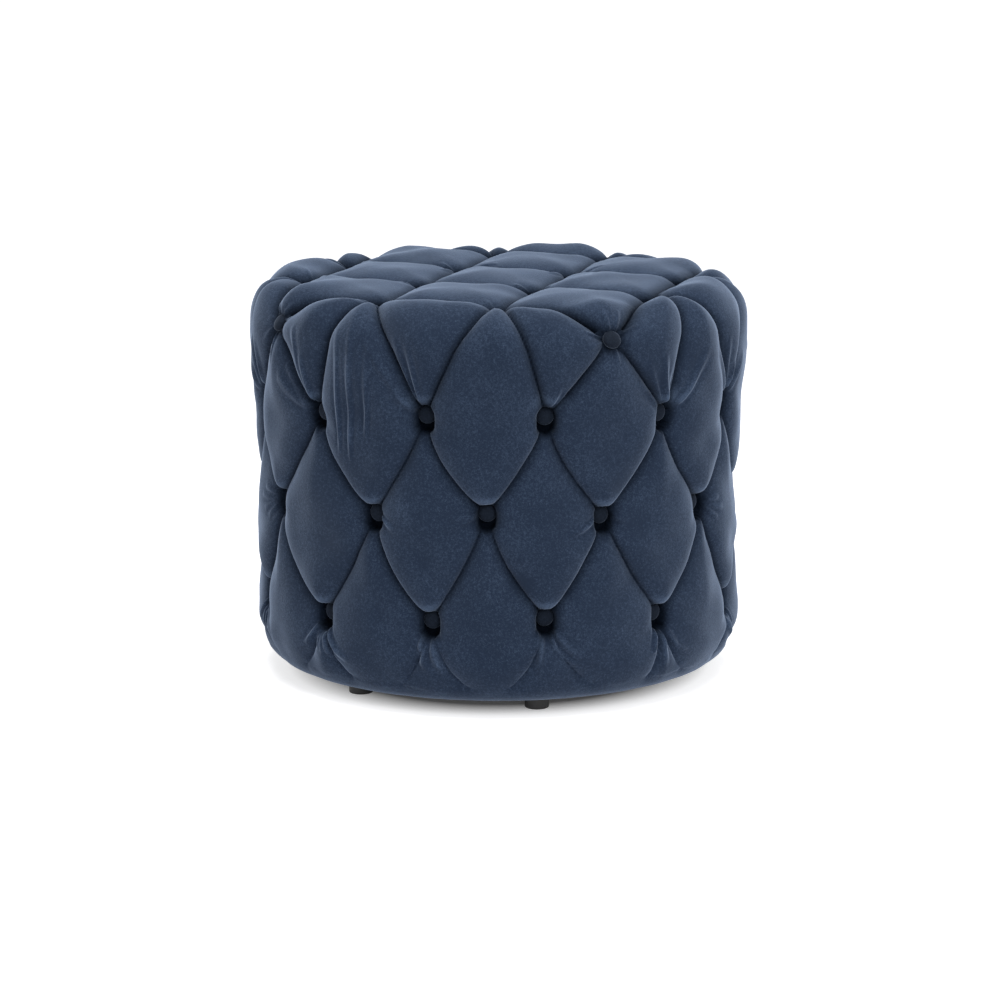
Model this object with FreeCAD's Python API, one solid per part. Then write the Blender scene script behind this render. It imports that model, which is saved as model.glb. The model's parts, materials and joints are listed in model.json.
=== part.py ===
import FreeCAD, Part
import math
import os
from FreeCAD import Matrix, Placement, Rotation, Vector

os.makedirs("parts", exist_ok=True)

# A round tuffet: a low drum-shaped seat, deep-buttoned in velvet on its side and top.
# Millimetres, +Z up. The floor is z = 0 and the drum's axis is the Z axis.
# Angles around the axis are measured in degrees from -Y, the front, towards +X.

# Outside of the padded drum
body_radius = 244.0          # crests of the side tufts
shoulder_radius = 250.0      # crests where the drum is widest, under its top edge
shoulder_swell_from = 260.0  # height where the drum starts to swell
shoulder_swell_to = 350.0    # height where the swell is complete
shoulder_height = 362.0      # height where the side turns over to the top
shoulder_drop = 45.0         # height of the rounded top edge
shoulder_inset = 42.0        # how far the rounded top edge comes in
foot_round_height = 45.0     # height of the rounded bottom edge
foot_round_inset = 28.0      # how far the rounded bottom edge comes in
top_crest_height = 405.5     # crests of the tufts on the top

# Tufting of the side
columns = 12                 # buttons in one row round the side
upper_row_height = 298.0
middle_row_height = 202.0
lower_row_height = 101.0
upper_row_angle = 12.0       # the lower row lines up with it, the middle row lies between
pit_depth = 22.0             # from a tuft's crest in to the cloth under a button
pleat_depth = 13.0           # from a tuft's crest in to the pleat halfway between buttons
tuft_shoulder = 0.12         # how soon a tuft swells out beside its pleats, a share of its width
tuft_bow = 0.65              # under 1, a tuft's lower edges bow out over the tufts below
hem_pleat_share = 0.25       # how much of the pleats' depth is left at the bottom edge
crown_pleat_share = 0.4      # how much of the pleats' depth is left at the top edge

# Tufting of the top
grid_pitch = 117.0           # square grid of buttons, 4 by 4
grid_count = 4
grid_turn = -18.0            # the grid's turn about the axis, counter-clockwise from above
top_pit_height = 381.0       # cloth under the top buttons
top_crease_height = 392.0    # creases between the top tufts
fold_width = 2.4             # width of a crease's bottom
corner_seat_radius = 238.0   # the grid's four corner buttons lie on the shoulder
corner_seat_height = 367.0
corner_tilt = 35.0           # how far those buttons look up

# Covered buttons
button_radius = 9.0
button_rim = 2.0             # height of the rim under the dome
button_height = 6.3
seat_margin = 0.5            # flat cloth round a button's back
back_radius = 6.5
back_thickness = 0.8
back_clearance = 0.1

# Cloth, wadding and foam
cover_thickness = 1.6
soft_gap = 0.3
top_foam_thickness = 50.0
hem_inner_radius = 165.0     # the cover is turned under the base to here
dust_cover_radius = 200.0
dust_cover_thickness = 0.6

# Wooden frame
base_radius = 205.0
base_thickness = 15.0
access_hole_radius = 110.0
panel_radius = 180.0         # outside of the bent side panel
panel_thickness = 3.0
ring_inner_radius = 115.0
ring_thickness = 15.0
deck_top_height = 323.0
deck_thickness = 15.0
wood_clearance = 0.3
post_count = 6
post_width = 40.0
post_depth = 30.0
post_reach = 158.0           # from the axis to a post's outer face
panel_seam_angle = 184.5
panel_seam_gap = 1.0
strip_width = 30.0
strip_thickness = 2.0

# Twine and its anchors
twine_radius = 0.8
twine_hole_radius = 1.1
twine_in_button = 2.5
deck_hole_inset = 10.0       # from the deck's edge in to the outer twine holes
corner_hole_height = 285.0   # panel holes of the corner buttons
twine_lead = 12.0            # straight length behind a slanting twine's button
washer_radius = 6.0
washer_thickness = 1.5
knot_radius = 2.2

# Screws, staples, glides
screw_radius = 2.0
screw_head_radius = 4.0
screw_head_height = 3.2
deck_screw_length = 50.0
base_screw_length = 60.0
screw_spacing = 20.0
staple_width = 10.0
staple_wire = 0.7
staple_leg = 9.0
panel_staple_count = 12
hem_staple_count = 36
hem_staple_radius = 174.0
dust_staple_count = 18
dust_staple_radius = 194.0
dust_staple_start = 2.0
glide_count = 6
glide_height = 15.0
glide_radius = 12.0
glide_circle_radius = 183.0
nail_radius = 1.25
nail_head_radius = 3.5
nail_head_thickness = 1.0
nail_recess = 3.0            # how deep the nail's head lies in the glide
nail_length = 28.0
nail_clearance = 0.1

# Heights and radii that follow from the sizes above
dust_bottom = glide_height
dust_top = dust_bottom + dust_cover_thickness
hem_bottom = dust_top + staple_wire + 0.1
base_bottom = hem_bottom + cover_thickness + soft_gap
base_top = base_bottom + base_thickness
ring_top = base_top + ring_thickness
deck_bottom = deck_top_height - deck_thickness
panel_inner = panel_radius - panel_thickness
deck_radius = panel_inner - wood_clearance
foam_top = deck_top_height + top_foam_thickness
pitch_angle = 360.0 / columns
pit_radius = body_radius - pit_depth
seat_half = button_radius + seat_margin
pit_angle = 2.0 * math.degrees(math.asin(seat_half / pit_radius))
drum_top = top_crest_height + 1.0
post_start = upper_row_angle


def at(angle, radius, height):
    """A point from its angle round the axis, its radius and its height."""
    a = math.radians(angle)
    return Vector(radius * math.sin(a), -radius * math.cos(a), height)


def outward(angle, tilt=0.0):
    """The direction that looks away from the axis at an angle, tilted up."""
    t = math.radians(tilt)
    flat = at(angle, math.cos(t), 0)
    return Vector(flat.x, flat.y, math.sin(t))


def line(a, b):
    return Part.LineSegment(a, b).toShape()


def swelled(a, crest, b):
    """A tuft's full outline from pleat to pleat, steep beside them, or a line where it is almost flat."""
    if abs(crest.distanceToLine(a, b - a)) < 0.2:
        return line(a, b)
    rise = (crest - (a + b) * 0.5) * (4.0 / 3.0)
    reach = (b - a) * tuft_shoulder
    curve = Part.BezierCurve()
    curve.setPoles([a, a + reach + rise, b - reach + rise, b])
    return curve.toShape()


def tube(inner, outer, bottom, top):
    body = Part.makeCylinder(outer, top - bottom, Vector(0, 0, bottom))
    return body.cut(Part.makeCylinder(inner, top - bottom + 2, Vector(0, 0, bottom - 1)))


def placed(shape, point, direction):
    """A copy of a shape drawn at the origin along +Z, moved to point along direction."""
    copy = shape.copy()
    copy.Placement = Placement(point, Rotation(Vector(0, 0, 1), direction))
    return copy


def save(shape, node):
    shape.exportStep("parts/" + node + ".step")
    print(node, len(shape.Solids), shape.isValid(), round(shape.Volume / 1000.0, 2), "cm3")


def save_group(shapes, node):
    save(Part.makeCompound(shapes), node)


# Where the buttons are


def grid_points():
    """(x, y) of the top grid's buttons, turned with the grid."""
    offsets = [(i - (grid_count - 1) / 2.0) * grid_pitch for i in range(grid_count)]
    turn = math.radians(grid_turn)
    found = []
    for u in offsets:
        for v in offsets:
            x = u * math.cos(turn) - v * math.sin(turn)
            y = u * math.sin(turn) + v * math.cos(turn)
            found.append((x, y))
    return found


def angle_of(x, y):
    return math.degrees(math.atan2(x, -y)) % 360.0


def grid_rings():
    """The grid's inner, edge and corner buttons as (angle, radius), in order round the axis."""
    polar = sorted((math.hypot(x, y), angle_of(x, y)) for x, y in grid_points())
    rings = []
    for first, last in ((0, 4), (4, 12), (12, 16)):
        rings.append(sorted((angle, radius) for radius, angle in polar[first:last]))
    return rings


inner_ring, edge_ring, corner_ring = grid_rings()


def row_angles(start):
    return [start + pitch_angle * k for k in range(columns)]


upper_angles = row_angles(upper_row_angle)
middle_angles = row_angles(upper_row_angle + pitch_angle / 2.0)


def crown_angle(column):
    """Angle of the outer grid button over a gap of the upper row, and whether it is a corner."""
    middle = middle_angles[column]
    corners = [(a, True) for a, r in corner_ring]
    edges = [(a, False) for a, r in edge_ring]
    best = min(corners + edges, key=lambda p: abs((p[0] - middle + 180.0) % 360.0 - 180.0))
    shift = (best[0] - middle + 180.0) % 360.0 - 180.0
    return middle + shift, best[1]


# The tufted drum: level sections, each with one edge per tuft or pit


def quarter(share):
    """How far a rounded edge comes in, from 0 at its start to 1 at its end."""
    u = min(1.0, max(0.0, share))
    return 1.0 - math.sqrt(1.0 - u * u)


def row_level(height):
    """A row's own height inside the flat strip that its buttons sit on."""
    for row in (lower_row_height, middle_row_height, upper_row_height):
        if abs(height - row) <= seat_half:
            return row
    return height


def crest_radius(height):
    """Radius over the tufts' crests at a height."""
    span = shoulder_swell_to - shoulder_swell_from
    t = min(1.0, max(0.0, (height - shoulder_swell_from) / span))
    radius = body_radius + (shoulder_radius - body_radius) * t * t * (3.0 - 2.0 * t)
    radius -= foot_round_inset * quarter(1.0 - (height - hem_bottom) / foot_round_height)
    radius -= shoulder_inset * quarter((height - shoulder_height) / shoulder_drop)
    return radius


def ramp(height, start, end):
    return min(1.0, max(0.0, (height - start) / (end - start)))


def opening(height):
    """0 where the upper and lower rows have their buttons, 1 where the middle row and the top have."""
    if height <= middle_row_height:
        return ramp(height, lower_row_height + seat_half, middle_row_height - seat_half) ** tuft_bow
    if height <= upper_row_height:
        return 1.0 - ramp(height, middle_row_height + seat_half, upper_row_height - seat_half) ** tuft_bow
    return ramp(height, upper_row_height + seat_half, top_crease_height) ** 0.8


def corner_opening(height):
    """The same over the grid's corner buttons, which are lower, on the shoulder."""
    lift = seat_half * math.cos(math.radians(corner_tilt))
    if height <= corner_seat_height + lift:
        return ramp(height, upper_row_height + seat_half, corner_seat_height - lift)
    return 1.0 - 0.5 * ramp(height, corner_seat_height + lift, drum_top)


def edge_share(height):
    """How much of the pleats' full depth there is: less near the bottom and top edges."""
    low = ramp(height, hem_bottom, lower_row_height - seat_half)
    high = ramp(height, shoulder_height, top_crest_height)
    return max(hem_pleat_share, low) * (1.0 - (1.0 - crown_pleat_share) * high)


def pleat_radius(height, share):
    """Radius of the pleat beside a tuft that is open by a share of the pitch."""
    depth = pleat_depth + (pit_depth - pleat_depth) * (1.0 - 2.0 * share) ** 2
    return crest_radius(row_level(height)) - depth * edge_share(height)


def tuft_radius(height, width):
    """Radius over the middle of a tuft that is some degrees wide there."""
    wide = pitch_angle - pit_angle
    full = min(1.0, max(0.0, (width - pit_angle) / (wide - pit_angle)))
    swell = math.sin(math.pi / 2.0 * full) ** 0.6
    return crest_radius(row_level(height)) - pit_depth * edge_share(height) * (1.0 - swell)


def corner_seat_plane(height):
    """Radius of the tilted seat of a corner button at a height."""
    return corner_seat_radius - (height - corner_seat_height) * math.tan(math.radians(corner_tilt))


def section_level(height, inset):
    """Where a section is drawn: the rounded bottom edge is drawn in upwards too."""
    return height + inset if height < hem_bottom + foot_round_height - 1.0 else height


def drum_section(height, inset):
    """The drum's closed outline at a height, drawn in by inset."""
    level = section_level(height, inset)
    wide = pitch_angle - pit_angle
    lift = seat_half * math.cos(math.radians(corner_tilt)) + 0.01
    spans = []
    for column in range(columns):
        centre, corner = crown_angle(column)
        on_side = height <= upper_row_height
        share = corner_opening(height) if corner and not on_side else opening(height)
        drift = 0.0 if on_side else ramp(height, upper_row_height + seat_half, top_crease_height)
        middle = middle_angles[column] + (centre - middle_angles[column]) * drift
        width = wide - share * (wide - pit_angle)
        radius = pleat_radius(height, share) - inset
        seated = corner and abs(height - corner_seat_height) <= lift
        if seated:
            radius = corner_seat_plane(height) - inset / math.cos(math.radians(corner_tilt))
        spans.append((middle - width / 2.0, middle + width / 2.0, radius, seated))
    edges = []
    for column in range(columns):
        start, end, radius, seated = spans[column]
        following = spans[(column + 1) % columns]
        turn = 360.0 if column == columns - 1 else 0.0
        a = at(start, radius, level)
        b = at(end, radius, level)
        c = at(following[0] + turn, following[2], level)
        if seated:
            edges.append(line(a, b))
        else:
            crest = tuft_radius(height, end - start) - inset
            edges.append(swelled(a, at((start + end) / 2.0, crest, level), b))
        crest = tuft_radius(height, following[0] + turn - end) - inset
        edges.append(swelled(b, at((end + following[0] + turn) / 2.0, crest, level), c))
    return Part.Wire(edges)


def drum_heights():
    """Heights of the level sections, from the turned-under bottom edge to the top."""
    found = [hem_bottom + foot_round_height * t for t in (0.0, 0.06, 0.16, 0.34, 0.62, 1.0)]
    found.append((hem_bottom + foot_round_height + lower_row_height - seat_half) / 2.0)
    rows = (lower_row_height, middle_row_height, upper_row_height)
    for row, following in zip(rows, rows[1:] + (None,)):
        found += [row - seat_half, row, row + seat_half]
        if following is not None:
            gap = following - row - 2.0 * seat_half
            found += [row + seat_half + gap * t for t in (0.25, 0.5, 0.75)]
    lift = seat_half * math.cos(math.radians(corner_tilt))
    start = upper_row_height + seat_half
    gap = corner_seat_height - lift - start
    found += [start + gap * t for t in (0.33, 0.67)]
    found += [corner_seat_height - lift, corner_seat_height, corner_seat_height + lift]
    rest = drum_top - corner_seat_height - lift
    found += [corner_seat_height + lift + rest * t for t in (0.35, 0.65, 0.85, 1.0)]
    return found


# The tufted top: upright sections across a block, one after another along the grid


grid_lines = [(i - (grid_count - 1) / 2.0) * grid_pitch for i in range(grid_count)]
grid_edge = grid_lines[-1]
block_half = shoulder_radius + 20.0
top_seat_half = button_radius + 0.2


def from_grid_line(position):
    return min(abs(position - value) for value in grid_lines)


def rounded(distance):
    """0 on a grid line, 1 halfway between two."""
    return math.sin(math.pi / 2.0 * min(1.0, max(0.0, distance / (grid_pitch / 2.0))))


def fold_height(across, along):
    """Height of the crease along one grid line, at a place along it."""
    distance = max(0.0, from_grid_line(along) - top_seat_half)
    outside = abs(along) > grid_edge + top_seat_half
    corner = abs(across) >= grid_edge and abs(along) >= grid_edge - top_seat_half
    low = top_crease_height - 2.0 if corner else top_pit_height
    high = top_crease_height + 6.0 if outside else top_crease_height
    stretch = grid_pitch / 2.0 / (grid_pitch / 2.0 - top_seat_half)
    return low + (high - low) * rounded(distance * stretch) ** 0.7


def block_section(along, inset):
    """The block's closed outline at a place along the grid."""
    half = top_seat_half if from_grid_line(along) <= top_seat_half + 0.01 else fold_width / 2.0
    places = [-block_half]
    for value in grid_lines:
        places += [value - half, value + half]
    places.append(block_half)
    rim = top_crest_height - 2.0
    points = []
    for place in places:
        if abs(place) == block_half:
            height = rim
        else:
            nearest = min(grid_lines, key=lambda value: abs(value - place))
            height = fold_height(nearest, along)
        points.append(Vector(place, along, height - inset))
    rise = (top_crest_height - top_crease_height) * rounded(from_grid_line(along)) ** 0.5
    edges = []
    for i in range(len(points) - 1):
        a, b = points[i], points[i + 1]
        if i % 2 == 1:
            edges.append(line(a, b))
            continue
        crest = top_crease_height + rise - inset
        if i == 0 or i == len(points) - 2 or abs(along) > grid_edge + top_seat_half:
            crest = max(a.z, b.z, crest) + 0.5
        edges.append(swelled(a, Vector((a.x + b.x) / 2.0, along, crest), b))
    low_right = Vector(block_half, along, -20.0)
    low_left = Vector(-block_half, along, -20.0)
    edges += [line(points[-1], low_right), line(low_right, low_left), line(low_left, points[0])]
    return Part.Wire(edges)


def block_places():
    outer = [grid_edge + 25.0, grid_edge + 50.0, block_half]
    found = [-value for value in reversed(outer)]
    for value in grid_lines:
        found += [value - top_seat_half, value + top_seat_half]
        if value != grid_lines[-1]:
            found += [value + grid_pitch * t for t in (0.27, 0.5, 0.73)]
    return found + outer


def tufted_drum(inset):
    """The whole tufted form, drawn in by inset."""
    drum = Part.makeLoft([drum_section(h, inset) for h in drum_heights()], True, True)
    block = Part.makeLoft([block_section(y, inset) for y in block_places()], True, True)
    block.rotate(Vector(0, 0, 0), Vector(0, 0, 1), grid_turn)
    return drum.common(block).Solids[0]


# Buttons with their twine: each place is (seat point, direction, twine route, anchor direction)


def side_place(angle, height):
    """A side button and its straight twine to the inside of the panel."""
    pit = crest_radius(height) - pit_depth
    seat = pit + soft_gap
    face = math.sqrt(panel_inner**2 - washer_radius**2) - 0.1
    end = face - washer_thickness - knot_radius
    route = [at(angle, seat + twine_in_button, height), at(angle, end, height)]
    return at(angle, seat, height), outward(angle), route, at(angle, face, height)


def inner_place(angle, radius):
    """One of the four inner top buttons, with its twine straight down through the deck."""
    seat = at(angle, radius, top_pit_height + soft_gap)
    face = at(angle, radius, deck_bottom)
    end = face.z - washer_thickness - knot_radius
    route = [seat + Vector(0, 0, twine_in_button), at(angle, radius, end)]
    return seat, Vector(0, 0, 1), route, face


def edge_place(angle, radius):
    """A top button near the rim: its twine slants in to a hole in the deck."""
    seat = at(angle, radius, top_pit_height + soft_gap)
    hole = deck_radius - deck_hole_inset
    end = deck_bottom - washer_thickness - knot_radius
    route = [
        seat + Vector(0, 0, twine_in_button),
        at(angle, radius, top_pit_height - twine_lead),
        at(angle, hole, deck_top_height + 4.0),
        at(angle, hole, end),
    ]
    return seat, Vector(0, 0, 1), route, at(angle, hole, deck_bottom)


def corner_place(angle):
    """A corner button on the shoulder: its twine slants down to a hole in the panel."""
    look = outward(angle, corner_tilt)
    flat = corner_seat_radius * math.cos(math.radians(pit_angle / 2.0))
    seat = at(angle, flat, corner_seat_height) + look * soft_gap
    face = math.sqrt(panel_inner**2 - washer_radius**2) - 0.1
    route = [
        seat + look * twine_in_button,
        seat - look * twine_lead,
        at(angle, panel_radius + 4.0, corner_hole_height),
        at(angle, face - washer_thickness - knot_radius, corner_hole_height),
    ]
    return seat, look, route, at(angle, face, corner_hole_height)


upper_places = [side_place(a, upper_row_height) for a in upper_angles]
middle_places = [side_place(a, middle_row_height) for a in middle_angles]
lower_places = [side_place(a, lower_row_height) for a in upper_angles]
top_places = [inner_place(a, r) for a, r in inner_ring] + [edge_place(a, r) for a, r in edge_ring]
corner_places = [corner_place(a) for a, r in corner_ring]
side_places = upper_places + middle_places + lower_places
all_places = side_places + top_places + corner_places


def rod(route, radius):
    """A round rod along a route of straight runs."""
    body = None
    for a, b in zip(route, route[1:]):
        run = Part.makeCylinder(radius, (b - a).Length, a, b - a)
        body = run if body is None else body.fuse(run)
        if b is not route[-1]:
            body = body.fuse(Part.makeSphere(radius * 1.03, b))
    return body


def twine(place):
    """One button's twine, with the knot that holds it behind the washer."""
    route = place[2]
    return rod(route, twine_radius).fuse(Part.makeSphere(knot_radius, route[-1])).removeSplitter()


twine_holes = Part.makeCompound([rod(place[2], twine_hole_radius) for place in all_places])


def holed(shape, bores):
    """The shape with those bores cut through it that reach its box."""
    near = [bore for bore in bores.Solids if bore.BoundBox.intersect(shape.BoundBox)]
    return shape.cut(Part.makeCompound(near)) if near else shape


def button():
    """A cloth-covered button: a dome with a recess for its back and a hole for the twine."""
    rim_out = button_radius - 0.3
    rise = button_height - button_rim
    dome_radius = (rim_out**2 + rise**2) / (2.0 * rise)
    half = rim_out / 2.0
    half_height = button_height - dome_radius + math.sqrt(dome_radius**2 - half**2)
    outline = [
        line(Vector(0, 0, 0), Vector(button_radius - 0.6, 0, 0)),
        Part.Arc(
            Vector(button_radius - 0.6, 0, 0),
            Vector(button_radius, 0, button_rim / 2.0),
            Vector(rim_out, 0, button_rim),
        ).toShape(),
        Part.Arc(
            Vector(rim_out, 0, button_rim),
            Vector(half, 0, half_height),
            Vector(0, 0, button_height),
        ).toShape(),
        line(Vector(0, 0, button_height), Vector(0, 0, 0)),
    ]
    dome = Part.Face(Part.Wire(outline)).revolve(Vector(0, 0, 0), Vector(0, 0, 1), 360)
    dome = dome.cut(Part.makeCylinder(back_radius + back_clearance, back_thickness))
    return dome.cut(Part.makeCylinder(twine_hole_radius, twine_in_button))


def button_back():
    """The button's metal back, flush with the cloth round it."""
    disc = Part.makeCylinder(back_radius, back_thickness)
    return disc.cut(Part.makeCylinder(twine_hole_radius, back_thickness))


def washer():
    """The washer that spreads a knot's pull, drawn from its bearing face down."""
    body = Part.makeCylinder(washer_radius, washer_thickness)
    return body.cut(Part.makeCylinder(twine_hole_radius, washer_thickness))


def washer_at(place):
    """A washer on the panel's inner face, or under the deck."""
    face, route = place[3], place[2]
    inward = route[-1] - route[-2]
    return placed(washer(), face, inward)


# Wooden frame


def screw(length):
    """A countersunk screw with its head's face at the origin, pointing along +Z."""
    head = Part.makeCone(screw_head_radius, screw_radius, screw_head_height)
    shank = Part.makeCylinder(screw_radius, length)
    return head.fuse(shank).removeSplitter()


def post_angles():
    return [post_start + 360.0 / post_count * k for k in range(post_count)]


def screw_points(angle, height):
    """The two screws of one post, side by side across it."""
    middle = at(angle, post_reach - post_depth / 2.0, height)
    side = outward(angle + 90.0)
    return [middle + side * (screw_spacing / 2.0), middle - side * (screw_spacing / 2.0)]


def deck_screws():
    found = []
    for angle in post_angles():
        for point in screw_points(angle, deck_top_height):
            found.append(placed(screw(deck_screw_length), point, Vector(0, 0, -1)))
    return found


def base_screws():
    found = []
    for angle in post_angles():
        for point in screw_points(angle, base_bottom):
            found.append(placed(screw(base_screw_length), point, Vector(0, 0, 1)))
    return found


def post(angle):
    height = deck_bottom - ring_top
    corner = Vector(-post_width / 2.0, -post_reach, ring_top)
    body = Part.makeBox(post_width, post_depth, height, corner)
    body.rotate(Vector(0, 0, 0), Vector(0, 0, 1), angle)
    return body


def staple():
    """A wire staple with its crown's outer face at the origin, its legs along +Z."""
    crown = Part.makeBox(staple_width, staple_wire, staple_wire, Vector(-staple_width / 2.0, -staple_wire / 2.0, 0))
    left = Part.makeBox(staple_wire, staple_wire, staple_leg, Vector(-staple_width / 2.0, -staple_wire / 2.0, 0))
    right = Part.makeBox(staple_wire, staple_wire, staple_leg, Vector(staple_width / 2.0 - staple_wire, -staple_wire / 2.0, 0))
    return crown.fuse([left, right]).removeSplitter()


def upright_staple(angle, radius, height):
    """A staple under the base, its crown lying along the rim."""
    body = staple()
    body.rotate(Vector(0, 0, 0), Vector(0, 0, 1), angle)
    body.translate(at(angle, radius, height))
    return body


def level_staple(angle, height):
    """A staple driven flush through the panel, its crown level."""
    body = staple()
    body.rotate(Vector(0, 0, 0), Vector(1, 0, 0), -90)
    body.translate(Vector(0, -panel_radius + 0.1, 0))
    body.rotate(Vector(0, 0, 0), Vector(0, 0, 1), angle)
    body.translate(Vector(0, 0, height))
    return body


def spread(count, start=0.0):
    return [start + 360.0 / count * k for k in range(count)]


def panel_staples():
    start = panel_seam_angle + pitch_angle / 2.0
    deck_middle = (deck_bottom + deck_top_height) / 2.0
    ring_middle = (base_top + ring_top) / 2.0
    found = []
    for angle in spread(panel_staple_count, start):
        found.append(level_staple(angle, deck_middle))
        found.append(level_staple(angle, ring_middle))
    return found


def sector(inner, outer, bottom, top, middle, width):
    """A curved strip between two radii, centred on an angle."""
    corners = [
        Vector(inner, 0, bottom),
        Vector(outer, 0, bottom),
        Vector(outer, 0, top),
        Vector(inner, 0, top),
    ]
    face = Part.Face(Part.makePolygon(corners + corners[:1]))
    span = math.degrees(width / outer)
    body = face.revolve(Vector(0, 0, 0), Vector(0, 0, 1), span)
    body.rotate(Vector(0, 0, 0), Vector(0, 0, 1), middle - 90.0 - span / 2.0)
    return body


def panel():
    """The bent panel, with its upright seam where its two ends meet."""
    body = tube(panel_inner, panel_radius, base_top, deck_top_height)
    seam = sector(
        panel_inner - 2.0,
        panel_radius + 2.0,
        base_top - 1.0,
        deck_top_height + 1.0,
        panel_seam_angle,
        panel_seam_gap,
    )
    return body.cut(seam)


def joint_strip():
    """The strip glued behind the panel's seam."""
    inner = panel_inner - strip_thickness
    low = ring_top + wood_clearance
    high = deck_bottom - wood_clearance
    return sector(inner, panel_inner, low, high, panel_seam_angle, strip_width)


# Glides


def glide():
    """A round glide, recessed for its nail."""
    body = Part.makeCylinder(glide_radius, glide_height)
    body = body.makeFillet(1.5, [edge for edge in body.Edges if edge.BoundBox.ZMax < 0.01])
    body = body.cut(Part.makeCylinder(nail_head_radius + nail_clearance, nail_recess))
    return body.cut(Part.makeCylinder(nail_radius, glide_height))


def nail():
    """A flat-headed nail from its head's lower face up."""
    head = Part.makeCylinder(nail_head_radius, nail_head_thickness)
    return head.fuse(Part.makeCylinder(nail_radius, nail_length)).removeSplitter()


def glide_angles():
    return spread(glide_count, post_start)


def glides():
    return [placed(glide(), at(a, glide_circle_radius, 0), Vector(0, 0, 1)) for a in glide_angles()]


def glide_nails():
    low = nail_recess - nail_head_thickness
    return [placed(nail(), at(a, glide_circle_radius, low), Vector(0, 0, 1)) for a in glide_angles()]


# The pieces

screws_down = deck_screws()
screws_up = base_screws()
staples_side = panel_staples()
staples_hem = [upright_staple(a, hem_staple_radius, hem_bottom - staple_wire) for a in spread(hem_staple_count)]
staples_dust = [
    upright_staple(a, dust_staple_radius, dust_bottom - staple_wire)
    for a in spread(dust_staple_count, dust_staple_start)
]
nails = glide_nails()
fixings = Part.makeCompound(screws_down + screws_up + staples_side + staples_hem + staples_dust + nails)

base = tube(access_hole_radius, base_radius, base_bottom, base_top)
save(holed(base, fixings), "base_board")
ring = tube(ring_inner_radius, deck_radius, base_top, ring_top)
save(holed(ring, fixings), "lower_ring")
for number, angle in enumerate(post_angles(), 1):
    save(holed(post(angle), fixings), "post_%d" % number)
deck = Part.makeCylinder(deck_radius, deck_thickness, Vector(0, 0, deck_bottom))
save(holed(holed(deck, fixings), twine_holes), "top_deck")
save(holed(holed(panel(), fixings), twine_holes), "side_panel")
save(joint_strip(), "panel_joint_strip")
save_group(screws_down, "deck_screws")
save_group(screws_up, "base_screws")
save_group(staples_side, "panel_staples")

side_foam = tube(panel_radius + soft_gap, base_radius, base_top, deck_top_height)
save(holed(side_foam, twine_holes), "side_foam")
top_foam = Part.makeCylinder(base_radius, top_foam_thickness, Vector(0, 0, deck_top_height))
save(holed(top_foam, twine_holes), "top_foam")
core = Part.makeCylinder(base_radius + soft_gap, foam_top + soft_gap)
wadding = tufted_drum(cover_thickness + soft_gap).cut(core)
save(holed(wadding, twine_holes), "wadding")

cover = tufted_drum(0.0).cut(tufted_drum(cover_thickness))
cover = cover.cut(Part.makeCylinder(hem_inner_radius, base_bottom))
save(holed(holed(cover, fixings), twine_holes), "velvet_cover")

dust_cover = Part.makeCylinder(dust_cover_radius, dust_cover_thickness, Vector(0, 0, dust_bottom))
save(holed(dust_cover, fixings), "dust_cover")
save_group(staples_hem, "hem_staples")
save_group(staples_dust, "dust_cover_staples")
save_group(glides(), "glides")
save_group(nails, "glide_nails")

covered = button()
for places, node in (
    (upper_places, "upper_side_buttons"),
    (middle_places, "middle_side_buttons"),
    (lower_places, "lower_side_buttons"),
    (top_places, "top_buttons"),
    (corner_places, "corner_buttons"),
):
    save_group([placed(covered, place[0], place[1]) for place in places], node)
save_group([placed(button_back(), place[0], place[1]) for place in all_places], "button_backs")
save_group([twine(place) for place in side_places], "side_twines")
save_group([twine(place) for place in top_places + corner_places], "top_twines")
save_group([washer_at(place) for place in all_places], "anchor_washers")
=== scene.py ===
"""Dresses the deep-buttoned velvet tuffet for its picture.

Metres, +Z up, the drum's axis on Z. Angles round the axis are in degrees from -Y, the front, towards +X.
"""

from __future__ import annotations

import json
import logging
import math
from dataclasses import dataclass, field
from enum import Enum

import bmesh
import bpy
import numpy as np
from mathutils import Matrix, Vector
from mathutils.kdtree import KDTree

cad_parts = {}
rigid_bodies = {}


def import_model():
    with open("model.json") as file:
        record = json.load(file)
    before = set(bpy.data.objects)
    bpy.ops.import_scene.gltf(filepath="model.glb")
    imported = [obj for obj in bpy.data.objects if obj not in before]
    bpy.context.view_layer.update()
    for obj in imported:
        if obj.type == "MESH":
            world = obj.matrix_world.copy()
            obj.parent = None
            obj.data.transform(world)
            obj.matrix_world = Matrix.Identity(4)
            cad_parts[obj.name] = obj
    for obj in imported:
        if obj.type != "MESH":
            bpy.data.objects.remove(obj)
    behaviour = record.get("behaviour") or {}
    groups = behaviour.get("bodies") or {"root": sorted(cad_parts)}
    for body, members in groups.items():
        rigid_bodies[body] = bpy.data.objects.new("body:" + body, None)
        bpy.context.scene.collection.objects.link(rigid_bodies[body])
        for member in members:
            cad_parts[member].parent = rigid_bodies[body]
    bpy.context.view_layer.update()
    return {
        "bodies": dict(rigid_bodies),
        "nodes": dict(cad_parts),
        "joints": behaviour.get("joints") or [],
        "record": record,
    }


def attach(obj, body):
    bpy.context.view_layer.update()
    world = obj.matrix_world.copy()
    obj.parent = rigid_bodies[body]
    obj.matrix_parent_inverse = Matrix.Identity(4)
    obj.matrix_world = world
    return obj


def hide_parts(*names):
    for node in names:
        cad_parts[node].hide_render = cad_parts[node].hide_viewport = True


LOG = logging.getLogger("tuffet")


# Shader helpers


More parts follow.
